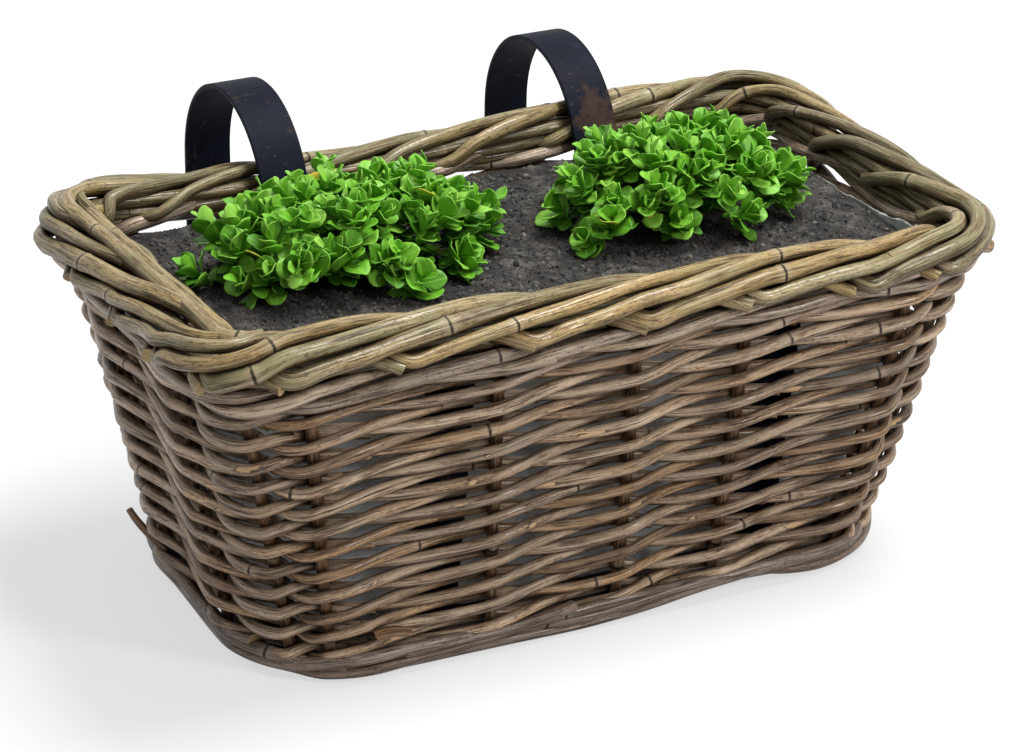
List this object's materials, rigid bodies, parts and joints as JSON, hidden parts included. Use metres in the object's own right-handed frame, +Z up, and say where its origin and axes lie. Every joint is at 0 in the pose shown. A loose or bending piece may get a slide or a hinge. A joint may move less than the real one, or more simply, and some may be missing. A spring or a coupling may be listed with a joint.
{
  "type": "balcony planter basket",
  "caption": "Tapered oblong rattan trough in a paired weave with a rolled border, on flat steel rail hangers, holding a liner bag of soil and low leafy plants.",
  "frame": {"origin": "on the floor plane under the basket's foot, midway between the front of the border and the back of the hooks, and midway along the basket", "axes": "+X along the long front wall, +Y towards the rail, +Z up"},
  "size_m": [0.513, 0.3835, 0.253],
  "materials": {
    "weaver_cane": "unpeeled cane, satin, long bark ridges and streaks",
    "stake_cane": "unpeeled cane, satin",
    "border_cane": "unpeeled cane, satin, olive tan",
    "foot_cane": "unpeeled cane, smooth, grey brown",
    "hanger_steel": "dark coated flat steel, satin, rubbed at the edges",
    "liner_film": "clear film, crumpled, glossy",
    "soil": "loose dark compost of bark and peat",
    "leaf": "soft fleshy leaves, satin"
  },
  "bodies": {
    "basket": {"weaver_01a": "weaver_cane", "weaver_01b": "weaver_cane", "weaver_02a": "weaver_cane", "weaver_02b": "weaver_cane", "weaver_03a": "weaver_cane", "weaver_03b": "weaver_cane", "weaver_04a": "weaver_cane", "weaver_04b": "weaver_cane", "weaver_05a": "weaver_cane", "weaver_05b": "weaver_cane", "weaver_06a": "weaver_cane", "weaver_06b": "weaver_cane", "weaver_07a": "weaver_cane", "weaver_07b": "weaver_cane", "weaver_08a": "weaver_cane", "weaver_08b": "weaver_cane", "weaver_09a": "weaver_cane", "weaver_09b": "weaver_cane", "weaver_10a": "weaver_cane", "weaver_10b": "weaver_cane", "weaver_11a": "weaver_cane", "weaver_11b": "weaver_cane", "weaver_12a": "weaver_cane", "weaver_12b": "weaver_cane", "wale_a": "border_cane", "wale_b": "border_cane", "wale_c": "border_cane", "stake_01": "stake_cane", "stake_02": "stake_cane", "stake_03": "stake_cane", "stake_04": "stake_cane", "stake_05": "stake_cane", "stake_06": "stake_cane", "stake_07": "stake_cane", "stake_08": "stake_cane", "stake_09": "stake_cane", "stake_10": "stake_cane", "stake_11": "stake_cane", "stake_12": "stake_cane", "stake_13": "stake_cane", "stake_14": "stake_cane", "stake_15": "stake_cane", "stake_16": "stake_cane", "stake_17": "stake_cane", "stake_18": "stake_cane", "foot_outer": "foot_cane", "foot_inner": "foot_cane", "base_mat": "foot_cane", "base_stick_left": "stake_cane", "base_stick_middle": "stake_cane", "base_stick_right": "stake_cane", "hanger_left": "hanger_steel", "hanger_right": "hanger_steel"},
    "planting": {"liner": "liner_film", "soil": "soil", "plant_left": "leaf", "plant_right": "leaf"}
  },
  "joints": [
    {"name": "planting_lift", "type": "slide", "parent": "basket", "child": "planting", "axis": [0, 0, 1], "range_m": [0, 0.2]}
  ]
}
